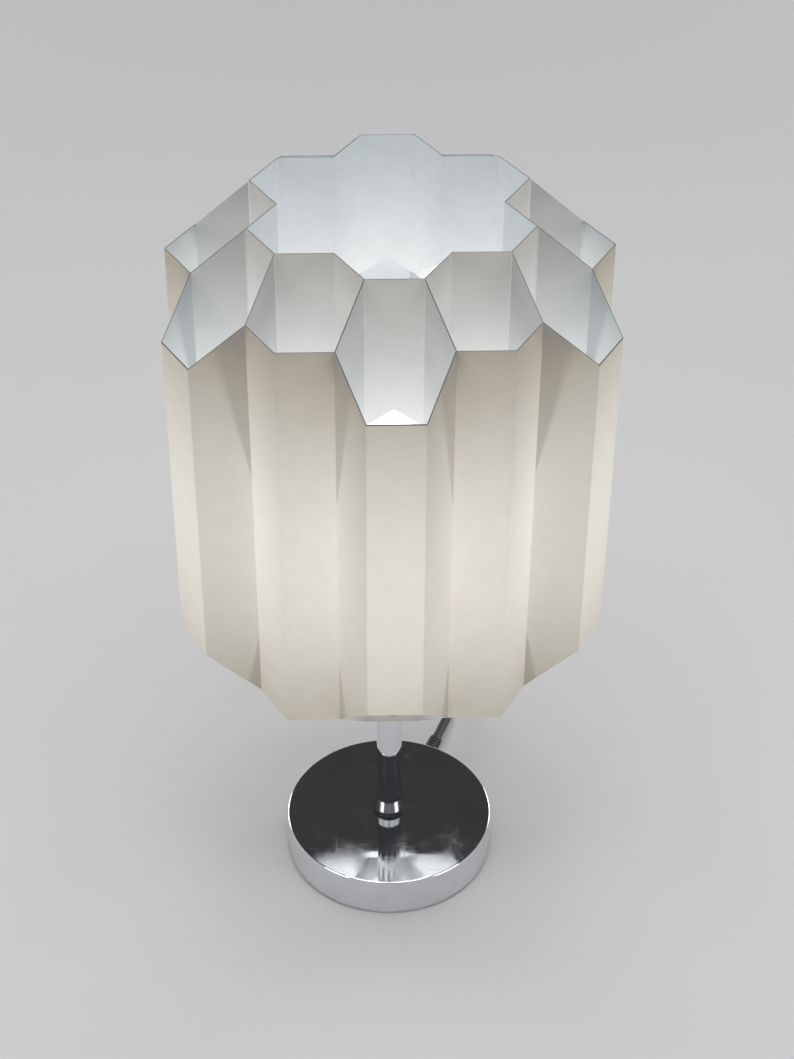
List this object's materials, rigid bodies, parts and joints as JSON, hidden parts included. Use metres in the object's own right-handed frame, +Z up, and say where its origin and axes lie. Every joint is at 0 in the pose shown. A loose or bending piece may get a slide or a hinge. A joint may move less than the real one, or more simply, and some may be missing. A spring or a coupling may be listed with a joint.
{
  "type": "table lamp",
  "caption": "Table lamp with a translucent paper shade made of hexagonal pleated cells, on a polished column and a round weighted base with an inline switch cord.",
  "frame": {"origin": "under the middle of the round base, on the table", "axes": "+Z up along the column, -Y to the front, +X to the right of someone who faces the lamp"},
  "size_m": [0.2406, 0.5713, 0.472],
  "materials": {
    "paper": "smooth translucent sheet, lit from inside",
    "white_steel": "satin paint",
    "brass": "plain",
    "chrome": "mirror polished",
    "cast_iron": "rough casting",
    "pad_rubber": "matt foam sheet",
    "zinc_steel": "zinc plated",
    "black_plastic": "moulded",
    "holder_plastic": "moulded white",
    "ceramic": "unglazed",
    "core_insulation": "soft insulation",
    "opal_globe": "opal diffuser",
    "bulb_plastic": "moulded white",
    "nickel": "nickel plated",
    "cord_black": "smooth sheath",
    "switch_plastic": "moulded black",
    "rocker_plastic": "moulded black"
  },
  "bodies": {
    "lamp": {"corner_cell_1": "paper", "corner_cell_2": "paper", "corner_cell_3": "paper", "corner_cell_4": "paper", "corner_cell_5": "paper", "corner_cell_6": "paper", "edge_wall_1": "paper", "edge_wall_2": "paper", "edge_wall_3": "paper", "edge_wall_4": "paper", "edge_wall_5": "paper", "edge_wall_6": "paper", "upper_band_1": "paper", "upper_band_2": "paper", "upper_band_3": "paper", "upper_band_4": "paper", "upper_band_5": "paper", "upper_band_6": "paper", "lower_band_1": "paper", "lower_band_2": "paper", "lower_band_3": "paper", "lower_band_4": "paper", "lower_band_5": "paper", "lower_band_6": "paper", "shade_carrier": "white_steel", "carrier_rivets": "white_steel", "base_cover": "chrome", "base_weight": "cast_iron", "base_pad": "pad_rubber", "base_washer": "zinc_steel", "base_nut": "zinc_steel", "cord_gland": "black_plastic", "cord_clamp": "black_plastic", "clamp_screws": "zinc_steel", "inner_cord": "cord_black", "stem_tube": "chrome", "stem_collar": "chrome", "threaded_rod": "zinc_steel", "lampholder_cap": "holder_plastic", "lampholder_insert": "ceramic", "terminal_screws": "brass", "lampholder_skirt": "holder_plastic", "screw_shell": "brass", "centre_contact": "brass", "shade_ring": "holder_plastic", "lead_wires": "core_insulation", "cord_lead": "cord_black", "cord_link": "cord_black", "cord_tail": "cord_black", "cord_coil": "cord_black", "switch_base": "switch_plastic", "switch_cover": "switch_plastic", "switch_screws": "zinc_steel", "plug_body": "switch_plastic", "plug_pins": "nickel"},
    "switch_rocker": {"switch_rocker": "rocker_plastic"},
    "bulb_tip": {"bulb_tip": "nickel"},
    "bulb": {"bulb_globe": "opal_globe", "bulb_collar": "bulb_plastic", "bulb_cap": "nickel"}
  },
  "joints": [
    {"name": "rocker_press", "type": "hinge", "parent": "lamp", "child": "switch_rocker", "pos_m": [0.05289, 0.34433, 0.0134], "axis": [0.9797, 0.2004, 0], "range_deg": [0, 16]},
    {"name": "bulb_rise", "type": "slide", "parent": "lamp", "child": "bulb_tip", "axis": [0, 0, 1], "range_m": [0, 0.01815]},
    {"name": "bulb_turn", "type": "hinge", "parent": "bulb_tip", "child": "bulb", "pos_m": [0, 0, 0.2984], "axis": [0, 0, 1], "range_deg": [0, 1800]}
  ],
  "couplings": [
    {"joint": "bulb_rise", "follows": "bulb_turn", "m_per_rad": 0.0005775}
  ]
}
